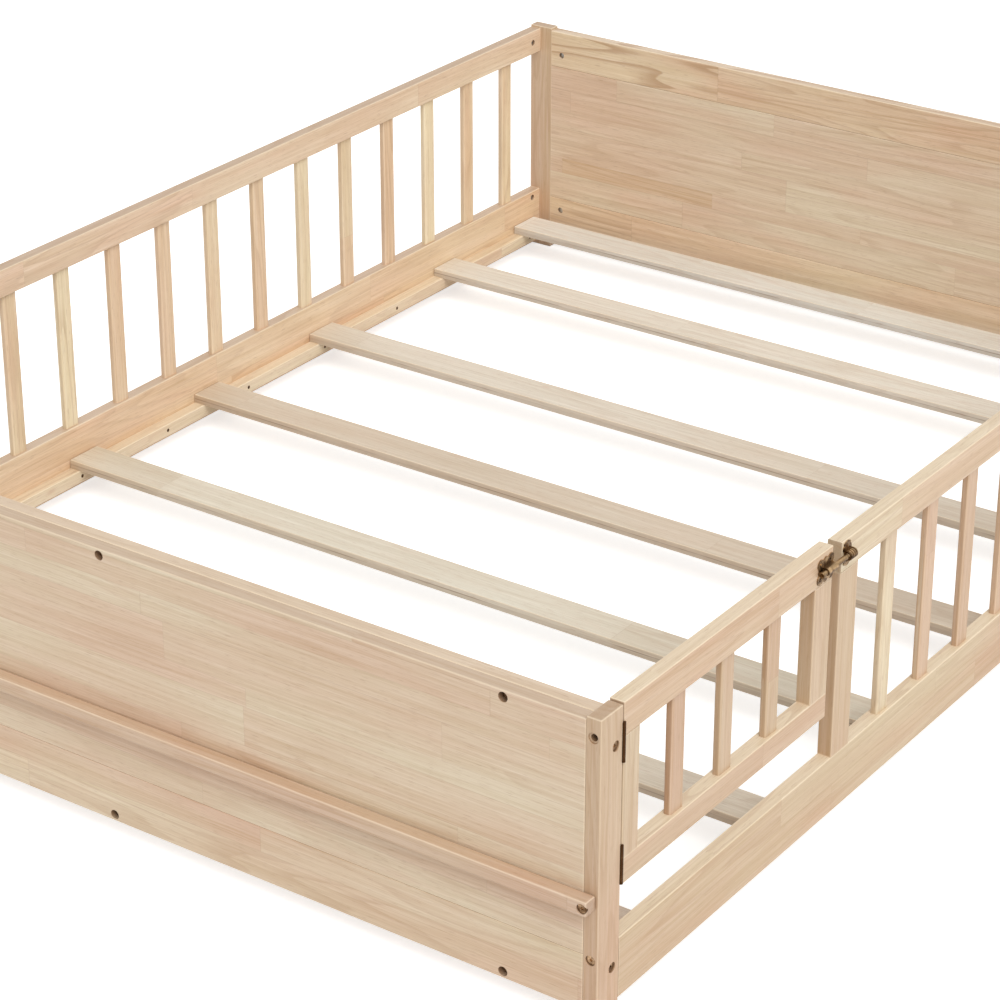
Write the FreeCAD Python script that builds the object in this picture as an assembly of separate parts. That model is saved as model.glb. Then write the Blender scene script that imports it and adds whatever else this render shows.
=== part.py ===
"""Toddler floor bed in solid wood, with a hinged gate in its front rail. Sizes are in millimetres.

While the bed is laid out, x runs from the foot (0, the posts' outer face) to the head, y from the front
(0, the posts' outer face) to the back, and z up from the floor. The finished pieces are then moved so that
the origin is the middle of the bed's footprint.
"""
import FreeCAD
import Part
import os

# Overall
bed_length = 1980.0  # over the posts
bed_width = 1442.0  # over the posts
post_height = 412.0
post_wide = 44.0
post_thick = 20.0
board_thick = 20.0  # rails, boards and panels
edge_round = 1.5  # eased long edges
rail_drop = 4.0  # the rails' tops lie this far below the posts' tops

# Sides
side_rail_height = 42.0
board_top = 108.0  # top edge of both side boards
front_board_height = 82.0
back_board_height = 98.0

# Ends
end_clearance = 26.0  # under the headboard and the footboard
end_top_rail_height = 64.0
end_bottom_rail_height = 72.0
foot_lower_board_height = 76.0  # outer layer, under its seam
tongue_thick = 6.0
tongue_long = 6.0
tongue_clearance = 0.1

# Ledge outside the footboard
ledge_size = 20.0
ledge_bottom = 167.0
ledge_setback = 3.5  # its ends stop short of the posts' sides
ledge_round = 3.0

# Spindles
spindle_wide = 28.0
spindle_thick = 10.0
spindle_round = 3.0
spindle_stub = 10.0  # length inside a rail
mortise_clearance = 0.1
back_spindle_count = 16
front_spindle_count = 12
gate_spindle_count = 3
side_spindle_inset = 95.5  # first spindle's middle from a post
gate_spindle_inset = 123.0  # first spindle's middle from the gate's end

# Gate and its opening
gate_width = 458.0
gate_low_gap = 69.0  # between the front board and the gate
gate_rise = 6.0  # the gate's top stands above the fixed rails
hinge_gap = 2.0  # between the foot post and the gate
latch_gap = 21.0  # between the gate and the post that it shuts on
gate_top_rail_height = 44.0
gate_bottom_rail_height = 34.0
hinge_stile_width = 33.0
latch_stile_width = 40.0

# Hinges
hinge_height = 51.0
hinge_inset = 3.0  # lower hinge above the gate's bottom edge
upper_hinge_drop = 24.0  # upper hinge's top end below the gate's top edge
hinge_axis_forward = 0.3  # pin's axis in front of the gate's face
leaf_gap = 0.2  # between the closed leaves
leaf_wide = 16.0
knuckle_radius = 2.4
knuckle_count = 5
knuckle_clearance = 0.3  # round a knuckle, to the other leaf and the wood
hinge_pin_radius = 1.2
hinge_pin_clearance = 0.05
hinge_screw_inset = 12.0  # from the leaf's end

# Latch
latch_height = 34.0
latch_plate_length = 38.0
latch_plate_thick = 1.2
lobe_radius = 7.0  # round lobes of the plates, with a screw in each
small_lobe_radius = 4.5  # between the screwed lobes
lobe_proud = 2.5  # lobes stand out from the plate's straight edges
latch_drop = 7.0  # plate's top edge below the gate's top edge
bolt_radius = 3.4
bolt_tip_chamfer = 0.9
bolt_standoff = 5.6  # bolt's axis in front of the gate's face
tunnel_wall = 1.3
tunnel_long = 23.0
tunnel_end_inset = 3.0
tunnel_clearance = 0.1
bolt_travel_in = 7.5  # from rest to fully shut
bolt_stop_play = 0.5
bolt_rest_gap = 1.5  # between the bolt's tip and the keeper's mouth at rest
finial_radius = 4.1
finial_long = 3.5
finial_round = 0.8
dimple_radius = 1.8
dimple_depth = 1.5
keeper_inset = 2.0
keeper_length = 20.0
keeper_margin = 2.0  # plate outside the keeper's barrel
keeper_barrel_long = 16.0
keeper_clearance = 0.4
keeper_wall = 2.0
keeper_rib = 0.7
keeper_rib_count = 4
keeper_rib_wide = 1.8
keeper_shoulder = 7.0  # small lobes' middles above and below the bolt's axis

# Slats and cleats
cleat_size = 20.0
cleat_end_gap = 42.0
cleat_screw_count = 10
cleat_screw_inset = 16.0  # from the cleat's ends
slat_wide = 61.0
slat_thick = 14.0
slat_round = 1.0
slat_end_gap = 1.0
slat_count = 7
foot_slat_centre = 130.0
head_slat_inset = 50.5  # last slat's centre from the head posts
slat_shifts = (0.0, 9.0, 4.0, 1.0, 0.0, 53.0, 0.0)  # laid by hand, from foot to head

# Connector bolts with flat heads, and their barrel nuts
side_bolt_drop = 25.0  # top bolts of the sides, below the posts' tops
board_bolt_drop = 11.0  # bolts of the side boards, below the boards' top edges
board_bolt_rise = 13.0  # back board's lower bolts, above its bottom edge
end_bolt_drop = 46.0  # top bolts of the ends, below the posts' tops
end_bolt_rise = 49.0  # lower bolts of the ends, above the end boards' bottom edges
head_radius = 6.2
head_thick = 2.5
head_clearance = 0.5
head_sink = 2.0  # flat head below the wood's face
shank_radius = 3.0
shank_clearance = 0.5
socket_width = 4.0
socket_depth = 1.6
nut_radius = 5.0
nut_length = 12.0
nut_inset = 22.0  # nut's axis from the rail's end
nut_clearance = 0.1
thread_clearance = 0.05
thread_runout = 2.0  # bolt's tip past its nut
spare_core_radius = 4.5  # empty hole in the foot front post
spare_mouth_radius = 7.0
spare_mouth_depth = 2.0

# Dowels
dowel_radius = 3.0
dowel_in_post = 10.0
dowel_in_rail = 15.0
dowel_below_bolt = 13.0
board_dowel_rise = 24.0  # above the front board's bottom edge
upright_dowel_radius = 4.0
upright_dowel_half = 11.0
upright_dowel_spacing = 22.0
gate_stile_dowel_half = 13.0

# Screws
layer_screw_edge = 9.0  # from the footboard's top and bottom edges
layer_screw_end = 110.0  # from the footboard's ends
layer_hole_radius = 6.5
layer_hole_depth = 8.0
layer_head_radius = 6.0
layer_head_thick = 3.0
layer_shank_radius = 2.5
layer_screw_in_rail = 15.0
ledge_bolt_in_post = 30.0
cleat_head_radius = 2.8
cleat_head_thick = 2.0
cleat_shank_radius = 1.8
cleat_screw_in_board = 14.0
leaf_head_radius = 2.4
leaf_shank_radius = 1.4
leaf_screw_in_wood = 9.0
plate_head_radius = 2.1
plate_head_thick = 0.9
plate_shank_radius = 1.2
plate_screw_in_wood = 10.0

# Worked out from the above
rail_top = post_height - rail_drop
rail_bottom = rail_top - side_rail_height
front_board_bottom = board_top - front_board_height
back_board_bottom = board_top - back_board_height
bay_start = post_wide
bay_end = bed_length - post_thick
back_face = bed_width - board_thick  # inner face of the back rail and board
gate_start = post_wide + hinge_gap
gate_end = gate_start + gate_width
leaf_thick = (hinge_gap - leaf_gap) / 2
gate_post_start = gate_end + latch_gap
gate_bottom = board_top + gate_low_gap
gate_top = rail_top + gate_rise
gate_rail_under = gate_top - gate_top_rail_height
gate_low_rail_top = gate_bottom + gate_bottom_rail_height
gate_post_end = gate_post_start + post_wide
foot_layer = board_thick  # where the footboard's inner layer starts
foot_inner_face = foot_layer + board_thick
head_inner_face = bed_length - board_thick
end_low_seam = end_clearance + end_bottom_rail_height
end_top_seam = rail_top - end_top_rail_height
foot_seam = end_clearance + foot_lower_board_height
foot_board_start = post_thick
foot_board_end = bed_width - post_thick
head_board_start = post_wide
head_board_end = bed_width - post_wide
side_bolt_y = board_thick / 2
foot_bolt_x = foot_layer + board_thick / 2
head_bolt_x = bed_length - board_thick / 2
side_bolt_top = post_height - side_bolt_drop
end_bolt_top = post_height - end_bolt_drop
end_bolt_low = end_clearance + end_bolt_rise
board_bolt_top = board_top - board_bolt_drop
board_bolt_low = back_board_bottom + board_bolt_rise
board_dowel_z = front_board_bottom + board_dowel_rise
cleat_bottom = front_board_bottom
cleat_top = cleat_bottom + cleat_size
latch_top = gate_top - latch_drop
latch_z = (latch_top - latch_height, latch_top)
latch_axis_z = sum(latch_z) / 2
tunnel_end = gate_end - tunnel_end_inset
tunnel_start = tunnel_end - tunnel_long
keeper_x = (gate_post_start + keeper_inset, gate_post_start + keeper_inset + keeper_length)
keeper_mouth = keeper_x[0] + keeper_margin
bolt_tip = keeper_mouth - bolt_rest_gap
finial_end = tunnel_start - bolt_stop_play - bolt_travel_in
keeper_reach = bolt_standoff + bolt_radius + keeper_clearance + keeper_wall + keeper_rib
same_place = 0.01  # points nearer than this are one

X = FreeCAD.Vector(1, 0, 0)
Y = FreeCAD.Vector(0, 1, 0)
Z = FreeCAD.Vector(0, 0, 1)


def point(x, y, z):
    return FreeCAD.Vector(x, y, z)


def block(x, y, z):
    """A square block; x, y and z are (low, high) pairs."""
    return Part.makeBox(x[1] - x[0], y[1] - y[0], z[1] - z[0], point(x[0], y[0], z[0]))


def rod(start, direction, radius, length):
    return Part.makeCylinder(radius, length, start, direction)


def edges_along(shape, direction):
    """Straight edges of a block that run along a direction."""
    found = []
    for edge in shape.Edges:
        run = edge.Vertexes[-1].Point - edge.Vertexes[0].Point
        if run.cross(direction).Length < same_place:
            found.append(edge)
    return found


def lumber(x, y, z, along, radius=edge_round, all_round=False):
    """A plank or rail with eased edges: the long ones, or every edge."""
    plank = block(x, y, z)
    edges = plank.Edges if all_round else edges_along(plank, along)
    return plank.makeFillet(radius, edges)


def cut_all(shape, tools):
    return shape.cut(tools) if tools else shape


class Hardware:
    """Fasteners and the holes that they need, gathered while the bed is laid out."""

    def __init__(self):
        self.groups = {}
        self.holes = {}

    def add(self, group, shape):
        self.groups.setdefault(group, []).append(shape)

    def hole(self, piece, tool):
        self.holes.setdefault(piece, []).append(tool)


hardware = Hardware()


def flat_head_hole(start, direction, length):
    """Counterbore for a flat head and a clear hole through the wood behind it."""
    counterbore = rod(start, direction, head_radius + head_clearance, head_sink + head_thick)
    return counterbore.fuse(rod(start, direction, shank_radius + shank_clearance, length))


def flat_head_bolt(start, direction, length):
    """Connector bolt whose flat, hex-socket head sinks into the face at start."""
    top = start + direction * head_sink
    bolt = rod(top, direction, head_radius, head_thick)
    bolt = bolt.fuse(rod(top, direction, shank_radius, length - head_sink))
    socket = hexagon_prism(top, direction, socket_width, socket_depth)
    return bolt.cut(socket)


def hexagon_prism(start, direction, across_flats, depth):
    sides = 6
    half_turn = 180.0 / sides
    corner_radius = across_flats / 2 / cosine(half_turn)
    side_axis = Z if direction.cross(Z).Length > same_place else X
    corners = []
    for turn in range(sides + 1):
        spin = FreeCAD.Rotation(direction, 2 * half_turn * turn)
        corners.append(start + spin.multVec(side_axis * corner_radius))
    return Part.Face(Part.makePolygon(corners)).extrude(direction * depth)


def cosine(degrees):
    turned = FreeCAD.Rotation(Z, degrees).multVec(X)
    return turned.x


def knock_down_joint(post, rail, post_face, direction, post_depth, nut_side, size):
    """Bolt through a post into a barrel nut in the rail's end; size names the bolt's group."""
    nut_axis = post_face + direction * (post_depth + nut_inset)
    bolt_length = post_depth + nut_inset + nut_radius + thread_runout
    hardware.add(size + "_connector_bolts", flat_head_bolt(post_face, direction, bolt_length))
    hardware.hole(post, flat_head_hole(post_face, direction, post_depth))
    shank_hole = rod(post_face + direction * post_depth, direction, shank_radius + shank_clearance,
                     nut_inset + nut_radius + thread_runout)
    mouth = nut_axis + nut_side * (board_thick / 2)
    nut_hole = rod(mouth, nut_side * -1, nut_radius + nut_clearance, (board_thick + nut_length) / 2)
    hardware.hole(rail, shank_hole)
    hardware.hole(rail, nut_hole)
    nut = rod(nut_axis - nut_side * (nut_length / 2), nut_side, nut_radius, nut_length)
    thread_start = nut_axis - direction * nut_radius
    thread = rod(thread_start, direction, shank_radius + thread_clearance, 2 * nut_radius)
    hardware.add("barrel_nuts", nut.cut(thread))


def dowel_joint(first, second, seat, direction, radius, depth_first, depth_second, group):
    """Dowel across the face between two pieces; direction points from the first into the second."""
    start = seat - direction * depth_first
    length = depth_first + depth_second
    hardware.add(group, rod(start, direction, radius, length))
    hardware.hole(first, rod(start, direction, radius + thread_clearance, length))
    hardware.hole(second, rod(start, direction, radius + thread_clearance, length))


def mortise(rail, centre_x, mouth, direction, y_middle):
    """Slot in a rail for a spindle's stub; direction is the way that the stub goes in."""
    wide = spindle_wide + 2 * mortise_clearance
    thick = spindle_thick + 2 * mortise_clearance
    bottom = mouth if direction.z > 0 else mouth - spindle_stub
    hardware.hole(rail, lumber(
        (centre_x - wide / 2, centre_x + wide / 2), (y_middle - thick / 2, y_middle + thick / 2),
        (bottom, bottom + spindle_stub), Z, spindle_round + mortise_clearance))


def spindle_row(low_rail, high_rail, ends, inset, count, z_low, z_high, y_middle):
    """Evenly spaced spindles between two rails, and their mortises; ends are what the row stands between."""
    spindles = []
    first = ends[0] + inset
    pitch = (ends[1] - inset - first) / (count - 1)
    for number in range(count):
        centre_x = first + number * pitch
        mortise(low_rail, centre_x, z_low, Z * -1, y_middle)
        mortise(high_rail, centre_x, z_high, Z, y_middle)
        spindles.append(lumber(
            (centre_x - spindle_wide / 2, centre_x + spindle_wide / 2),
            (y_middle - spindle_thick / 2, y_middle + spindle_thick / 2),
            (z_low - spindle_stub, z_high + spindle_stub), Z, spindle_round))
    return spindles


def make_posts():
    """Four posts: flat to the sides at the foot, flat to the end at the head."""
    posts = {}
    places = {
        "foot_front_post": ((0, post_wide), (0, post_thick)),
        "foot_back_post": ((0, post_wide), (bed_width - post_thick, bed_width)),
        "head_front_post": ((bay_end, bed_length), (0, post_wide)),
        "head_back_post": ((bay_end, bed_length), (bed_width - post_wide, bed_width)),
    }
    for name, (x, y) in places.items():
        posts[name] = lumber(x, y, (0, post_height), Z, all_round=True)
    return posts


def tongue_and_groove(lower, upper, seam, x, y):
    """Tongue on top of the lower piece, in a groove of the upper one."""
    along_y = y[1] - y[0] > x[1] - x[0]
    middle = sum(x) / 2 if along_y else sum(y) / 2
    half = tongue_thick / 2
    wide = half + tongue_clearance
    if along_y:
        tongue = block((middle - half, middle + half), y, (seam, seam + tongue_long))
        groove = block((middle - wide, middle + wide), y, (seam, seam + tongue_long + tongue_clearance))
    else:
        tongue = block(x, (middle - half, middle + half), (seam, seam + tongue_long))
        groove = block(x, (middle - wide, middle + wide), (seam, seam + tongue_long + tongue_clearance))
    return lower.fuse(tongue), upper.cut(groove)


def make_framed_panel(name, x, y):
    """Bottom rail, panel and top rail, edge to edge with tongues."""
    bottom = lumber(x, y, (end_clearance, end_low_seam), Y)
    panel = lumber(x, y, (end_low_seam, end_top_seam), Y)
    top = lumber(x, y, (end_top_seam, rail_top), Y)
    bottom, panel = tongue_and_groove(bottom, panel, end_low_seam, x, y)
    panel, top = tongue_and_groove(panel, top, end_top_seam, x, y)
    return {
        name + "_bottom_rail": bottom,
        name + "_panel": panel,
        name + "_top_rail": top,
    }


def make_ends():
    """Headboard, and the footboard's two layers."""
    ends = make_framed_panel("headboard", (head_inner_face, bed_length), (head_board_start, head_board_end))
    foot_y = (foot_board_start, foot_board_end)
    ends.update(make_framed_panel("footboard_inner", (foot_layer, foot_inner_face), foot_y))
    lower = lumber((0, foot_layer), foot_y, (end_clearance, foot_seam), Y, all_round=True)
    upper = lumber((0, foot_layer), foot_y, (foot_seam, rail_top), Y, all_round=True)
    lower, upper = tongue_and_groove(lower, upper, foot_seam, (0, foot_layer), foot_y)
    ends["footboard_outer_board"] = lower
    ends["footboard_outer_panel"] = upper
    return ends


def make_ledge():
    """Strip across the outside of the footboard, bolted to both foot posts."""
    middle_z = ledge_bottom + ledge_size / 2
    ledge = lumber((-ledge_size, 0), (ledge_setback, bed_width - ledge_setback),
                   (ledge_bottom, ledge_bottom + ledge_size), Y, ledge_round, all_round=True)
    for post, y in (("foot_front_post", side_bolt_y), ("foot_back_post", bed_width - side_bolt_y)):
        face = point(-ledge_size, y, middle_z)
        hardware.add("ledge_bolts", flat_head_bolt(face, X, ledge_size + ledge_bolt_in_post))
        hardware.hole("footboard_ledge", flat_head_hole(face, X, ledge_size))
        thread_start = point(0, y, middle_z)
        hardware.hole(post, rod(thread_start, X, shank_radius + thread_clearance, ledge_bolt_in_post))
    return {"footboard_ledge": ledge}


def make_back():
    """Back rail, board and spindles."""
    y = (back_face, bed_width)
    y_middle = sum(y) / 2
    spindles = spindle_row("back_bottom_board", "back_top_rail", (bay_start, bay_end), side_spindle_inset,
                           back_spindle_count, board_top, rail_bottom, y_middle)
    return {
        "back_top_rail": lumber((bay_start, bay_end), y, (rail_bottom, rail_top), X),
        "back_bottom_board": lumber((bay_start, bay_end), y, (back_board_bottom, board_top), X),
        "back_spindles": Part.makeCompound(spindles),
    }


def make_front():
    """Front board, the fixed rail and its spindles, and the post that the gate shuts on."""
    y = (0, board_thick)
    y_middle = sum(y) / 2
    spindles = spindle_row("front_side_board", "front_top_rail", (gate_post_end, bay_end), side_spindle_inset,
                           front_spindle_count, board_top, rail_bottom, y_middle)
    for side in (-1, 1):
        dowel_x = gate_post_start + post_wide / 2 + side * upright_dowel_spacing / 2
        dowel_joint("front_side_board", "gate_post", point(dowel_x, y_middle, board_top), Z,
                    upright_dowel_radius, upright_dowel_half, upright_dowel_half, "upright_dowels")
        dowel_joint("gate_post", "front_top_rail", point(dowel_x, y_middle, rail_bottom), Z,
                    upright_dowel_radius, upright_dowel_half, upright_dowel_half, "upright_dowels")
    return {
        "front_side_board": lumber((bay_start, bay_end), y, (front_board_bottom, board_top), X),
        "front_top_rail": lumber((gate_post_start, bay_end), y, (rail_bottom, rail_top), X),
        "gate_post": lumber((gate_post_start, gate_post_end), y, (board_top, rail_bottom), Z),
        "front_spindles": Part.makeCompound(spindles),
    }


def make_gate():
    """The gate's wooden frame: two rails, two stiles between them, and spindles."""
    y = (0, board_thick)
    y_middle = sum(y) / 2
    latch_stile_start = gate_end - latch_stile_width
    hinge_stile_end = gate_start + hinge_stile_width
    x = (gate_start, gate_end)
    gate = {
        "gate_top_rail": lumber(x, y, (gate_rail_under, gate_top), X, all_round=True),
        "gate_bottom_rail": lumber(x, y, (gate_bottom, gate_low_rail_top), X, all_round=True),
        "gate_hinge_stile": lumber((gate_start, hinge_stile_end), y, (gate_low_rail_top, gate_rail_under), Z),
        "gate_latch_stile": lumber((latch_stile_start, gate_end), y, (gate_low_rail_top, gate_rail_under), Z),
    }
    stiles = {
        "gate_hinge_stile": (gate_start + hinge_stile_end) / 2,
        "gate_latch_stile": (latch_stile_start + gate_end) / 2,
    }
    for stile, middle_x in stiles.items():
        dowel_joint("gate_bottom_rail", stile, point(middle_x, y_middle, gate_low_rail_top), Z,
                    upright_dowel_radius, gate_stile_dowel_half, gate_stile_dowel_half, "gate_dowels")
        dowel_joint(stile, "gate_top_rail", point(middle_x, y_middle, gate_rail_under), Z,
                    upright_dowel_radius, gate_stile_dowel_half, gate_stile_dowel_half, "gate_dowels")
    spindles = spindle_row("gate_bottom_rail", "gate_top_rail", x, gate_spindle_inset,
                           gate_spindle_count, gate_low_rail_top, gate_rail_under, y_middle)
    for number, spindle in enumerate(spindles, 1):
        gate["gate_spindle_%d" % number] = spindle
    return gate


def make_base():
    """Cleats on both side boards, and the loose slats across them."""
    base = {}
    x = (bay_start + cleat_end_gap, bay_end - cleat_end_gap)
    sides = {
        "front_slat_cleat": ("front_side_board", board_thick, Y),
        "back_slat_cleat": ("back_bottom_board", back_face, Y * -1),
    }
    first_screw = x[0] + cleat_screw_inset
    screw_pitch = (x[1] - cleat_screw_inset - first_screw) / (cleat_screw_count - 1)
    for name, (board, face, inward) in sides.items():
        y = sorted((face, face + inward.y * cleat_size))
        base[name] = lumber(x, y, (cleat_bottom, cleat_top), X)
        for number in range(cleat_screw_count):
            screw_x = first_screw + number * screw_pitch
            start = point(screw_x, face, cleat_bottom + cleat_size / 2) + inward * cleat_size
            drive_screw("cleat_screws", start, inward * -1, cleat_head_radius, cleat_head_thick,
                        cleat_shank_radius, cleat_size + cleat_screw_in_board, (name, board))
    last_centre = bay_end - head_slat_inset
    pitch = (last_centre - foot_slat_centre) / (slat_count - 1)
    for number in range(slat_count):
        centre = foot_slat_centre + number * pitch + slat_shifts[number]
        base["slat_%d" % (number + 1)] = lumber(
            (centre - slat_wide / 2, centre + slat_wide / 2),
            (board_thick + slat_end_gap, back_face - slat_end_gap),
            (cleat_top, cleat_top + slat_thick), Y, slat_round, all_round=True)
    return base


def drive_screw(group, start, direction, head, head_high, shank, length, pieces, proud=0.0):
    """Screw whose head ends level with the face at start, or stands proud of it."""
    top = start - direction * proud
    screw = rod(top, direction, head, head_high).fuse(rod(top, direction, shank, length + proud))
    hardware.add(group, screw)
    room = rod(top, direction, head + thread_clearance, head_high)
    room = room.fuse(rod(top, direction, shank + thread_clearance, length + proud))
    for piece in pieces:
        hardware.hole(piece, room)


def fasten_layers():
    """Screws in deep counterbores that hold the footboard's outer layer to the inner rails."""
    rows = {
        rail_top - layer_screw_edge: ("footboard_outer_panel", "footboard_inner_top_rail"),
        end_clearance + layer_screw_edge: ("footboard_outer_board", "footboard_inner_bottom_rail"),
    }
    columns = (foot_board_start + layer_screw_end, bed_width / 2, foot_board_end - layer_screw_end)
    for z, pieces in rows.items():
        for y in columns:
            face = point(0, y, z)
            hardware.hole(pieces[0], rod(face, X, layer_hole_radius, layer_hole_depth + layer_head_thick))
            drive_screw("footboard_screws", face + X * layer_hole_depth, X, layer_head_radius,
                        layer_head_thick, layer_shank_radius,
                        foot_layer + layer_screw_in_rail - layer_hole_depth, pieces)


def bolt_sides():
    """Bolts along the bed, from the posts' end faces into the side rails and boards."""
    back_y = bed_width - side_bolt_y
    joints = (
        ("back_top_rail", "back", back_y, side_bolt_top, Y * -1),
        ("back_bottom_board", "back", back_y, board_bolt_top, Y * -1),
        ("back_bottom_board", "back", back_y, board_bolt_low, Y * -1),
        ("front_side_board", "front", side_bolt_y, board_bolt_top, Y),
    )
    for rail, side, y, z, inward in joints:
        foot = point(0, y, z)
        head = point(bed_length, y, z)
        knock_down_joint("foot_%s_post" % side, rail, foot, X, post_wide, inward, "long")
        knock_down_joint("head_%s_post" % side, rail, head, X * -1, post_thick, inward, "short")
    knock_down_joint("head_front_post", "front_top_rail", point(bed_length, side_bolt_y, side_bolt_top),
                     X * -1, post_thick, Y, "short")
    spare_start = point(0, side_bolt_y, side_bolt_top)
    hardware.hole("foot_front_post", rod(spare_start, X, spare_mouth_radius, spare_mouth_depth))
    hardware.hole("foot_front_post", rod(spare_start, X, spare_core_radius, post_wide))


def bolt_ends():
    """Bolts across the bed, from the posts' side faces into the headboard and footboard."""
    for z, rail in ((end_bolt_top, "top_rail"), (end_bolt_low, "bottom_rail")):
        foot_rail = "footboard_inner_" + rail
        head_rail = "headboard_" + rail
        knock_down_joint("foot_front_post", foot_rail, point(foot_bolt_x, 0, z), Y, post_thick, X, "short")
        knock_down_joint("foot_back_post", foot_rail, point(foot_bolt_x, bed_width, z), Y * -1, post_thick,
                         X, "short")
        knock_down_joint("head_front_post", head_rail, point(head_bolt_x, 0, z), Y, post_wide, X * -1, "long")
        knock_down_joint("head_back_post", head_rail, point(head_bolt_x, bed_width, z), Y * -1, post_wide,
                         X * -1, "long")


def dowel_sides():
    """Dowels that stop the rails with a single bolt from turning."""
    back_y = bed_width - side_bolt_y
    rail_dowel = side_bolt_top - dowel_below_bolt
    places = (
        ("foot_back_post", "back_top_rail", bay_start, back_y, rail_dowel, X),
        ("head_back_post", "back_top_rail", bay_end, back_y, rail_dowel, X * -1),
        ("head_front_post", "front_top_rail", bay_end, side_bolt_y, rail_dowel, X * -1),
        ("foot_front_post", "front_side_board", bay_start, side_bolt_y, board_dowel_z, X),
        ("head_front_post", "front_side_board", bay_end, side_bolt_y, board_dowel_z, X * -1),
    )
    for post, rail, x, y, z, direction in places:
        dowel_joint(post, rail, point(x, y, z), direction, dowel_radius,
                    dowel_in_post, dowel_in_rail, "rail_dowels")


def make_hinge(name, bottom):
    """Butt hinge in the gap beside the gate: two leaves, a pin, and knuckles in a groove of the wood."""
    axis_x = post_wide + hinge_gap / 2
    axis_y = -hinge_axis_forward
    step = hinge_height / knuckle_count
    leaf_y = (axis_y, axis_y + leaf_wide)
    leaf_z = (bottom, bottom + hinge_height)
    post_leaf = block((post_wide, post_wide + leaf_thick), leaf_y, leaf_z)
    gate_leaf = block((gate_start - leaf_thick, gate_start), leaf_y, leaf_z)
    for number in range(knuckle_count):
        foot = point(axis_x, axis_y, bottom + number * step)
        knuckle = rod(foot, Z, knuckle_radius, step)
        room = rod(foot, Z, knuckle_radius + knuckle_clearance, step)
        if number % 2 == 0:
            post_leaf = post_leaf.fuse(knuckle)
            gate_leaf = gate_leaf.cut(room)
        else:
            gate_leaf = gate_leaf.fuse(knuckle)
            post_leaf = post_leaf.cut(room)
    recess = rod(point(axis_x, axis_y, bottom), Z, knuckle_radius + knuckle_clearance, hinge_height)
    for wood in ("foot_front_post", "gate_hinge_stile", "gate_top_rail", "gate_bottom_rail"):
        hardware.hole(wood, recess)
    bore = rod(point(axis_x, axis_y, bottom), Z, hinge_pin_radius + hinge_pin_clearance, hinge_height)
    for z in (bottom + hinge_screw_inset, bottom + hinge_height - hinge_screw_inset):
        screw_y = axis_y + hinge_axis_forward + board_thick / 2
        drive_screw("hinge_post_screws", point(post_wide + leaf_thick, screw_y, z), X * -1, leaf_head_radius,
                    leaf_thick, leaf_shank_radius, leaf_thick + leaf_screw_in_wood,
                    (name + "_post_leaf", "foot_front_post"))
        drive_screw("hinge_gate_screws", point(gate_start - leaf_thick, screw_y, z), X, leaf_head_radius,
                    leaf_thick, leaf_shank_radius, leaf_thick + leaf_screw_in_wood,
                    (name + "_gate_leaf", "gate_hinge_stile", "gate_top_rail", "gate_bottom_rail"))
    return {
        name + "_post_leaf": post_leaf.cut(bore),
        name + "_gate_leaf": gate_leaf.cut(bore),
        name + "_pin": rod(point(axis_x, axis_y, bottom), Z, hinge_pin_radius, hinge_height),
    }


def scalloped_plate(x, z, lobes):
    """Thin plate on the front face; lobes are the (x, z, radius) of rounds that stand out from its middle."""
    thick = (-latch_plate_thick, 0)
    plate = block((x[0] + lobe_proud, x[1] - lobe_proud), thick, (z[0] + lobe_proud, z[1] - lobe_proud))
    for lobe_x, lobe_z, radius in lobes:
        plate = plate.fuse(rod(point(lobe_x, -latch_plate_thick, lobe_z), Y, radius, latch_plate_thick))
    return plate.removeSplitter()


def barrel_on_plate(x, outer_radius):
    """Round-backed barrel that stands on a plate, about the bolt's axis."""
    z = (latch_axis_z - outer_radius, latch_axis_z + outer_radius)
    foot = block(x, (-bolt_standoff, -latch_plate_thick), z)
    barrel = rod(point(x[0], -bolt_standoff, latch_axis_z), X, outer_radius, x[1] - x[0])
    in_front = block(x, (-bolt_standoff - outer_radius, -latch_plate_thick), z)
    return foot.fuse(barrel.common(in_front))


def round_edges_at(shape, x):
    """Edges that lie wholly at one x."""
    found = []
    for edge in shape.Edges:
        box = edge.BoundBox
        if abs(box.XMin - x) < same_place and abs(box.XMax - x) < same_place:
            found.append(edge)
    return found


def make_latch_plate(lobe_centres):
    """Scalloped plate on the gate, with the tunnel that the bolt slides in."""
    x = (gate_end - latch_plate_length, gate_end)
    lobes = [(lobe_x, lobe_z, lobe_radius) for lobe_x, lobe_z in lobe_centres]
    for lobe_z in (latch_z[0] + small_lobe_radius, latch_z[1] - small_lobe_radius):
        lobes.append((sum(x) / 2, lobe_z, small_lobe_radius))
    plate = scalloped_plate(x, latch_z, lobes)
    hole_radius = bolt_radius + tunnel_clearance
    plate = plate.fuse(barrel_on_plate((tunnel_start, tunnel_end), hole_radius + tunnel_wall))
    return plate.cut(rod(point(x[0], -bolt_standoff, latch_axis_z), X, hole_radius, latch_plate_length))


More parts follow.
